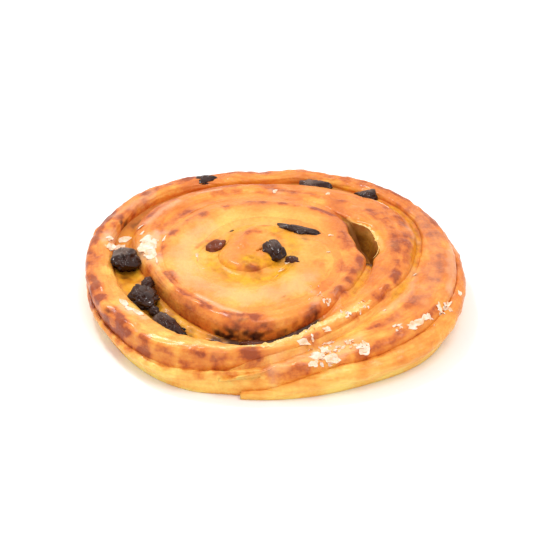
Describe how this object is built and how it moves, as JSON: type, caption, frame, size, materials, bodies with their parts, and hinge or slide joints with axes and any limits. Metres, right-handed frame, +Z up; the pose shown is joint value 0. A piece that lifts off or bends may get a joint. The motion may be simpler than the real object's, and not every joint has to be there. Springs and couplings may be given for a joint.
{
  "type": "danish pastry",
  "caption": "Round raisin swirl: a flat coil of baked sweet dough with custard between the turns and raisins set in it and on it.",
  "frame": {"origin": "centre of the bounding box's bottom face, in the plane that the pastry rests on", "axes": "+Z up through the thickness, +X to the right along the widest direction, +Y to the back; the dough's loose end is at the front, on the -Y side"},
  "size_m": [0.1078, 0.1004, 0.0188],
  "materials": {
    "baked_dough": "baked sweet dough, golden brown with dark blotches on the ridges, under a thin clear glaze",
    "custard": "set pastry custard, yellow and slightly glossy",
    "raisin": "dark wrinkled raisin with a sticky shine"
  },
  "bodies": {
    "root": {"dough": "baked_dough", "custard": "custard", "raisin_left_back": "raisin", "raisin_left_front": "raisin", "raisin_groove": "raisin", "raisin_front": "raisin", "raisin_middle": "raisin", "raisin_middle_small": "raisin", "raisin_inner_right": "raisin", "raisin_inner_left": "raisin", "raisin_back_left": "raisin", "raisin_back": "raisin", "raisin_back_right": "raisin"}
  },
  "joints": []
}
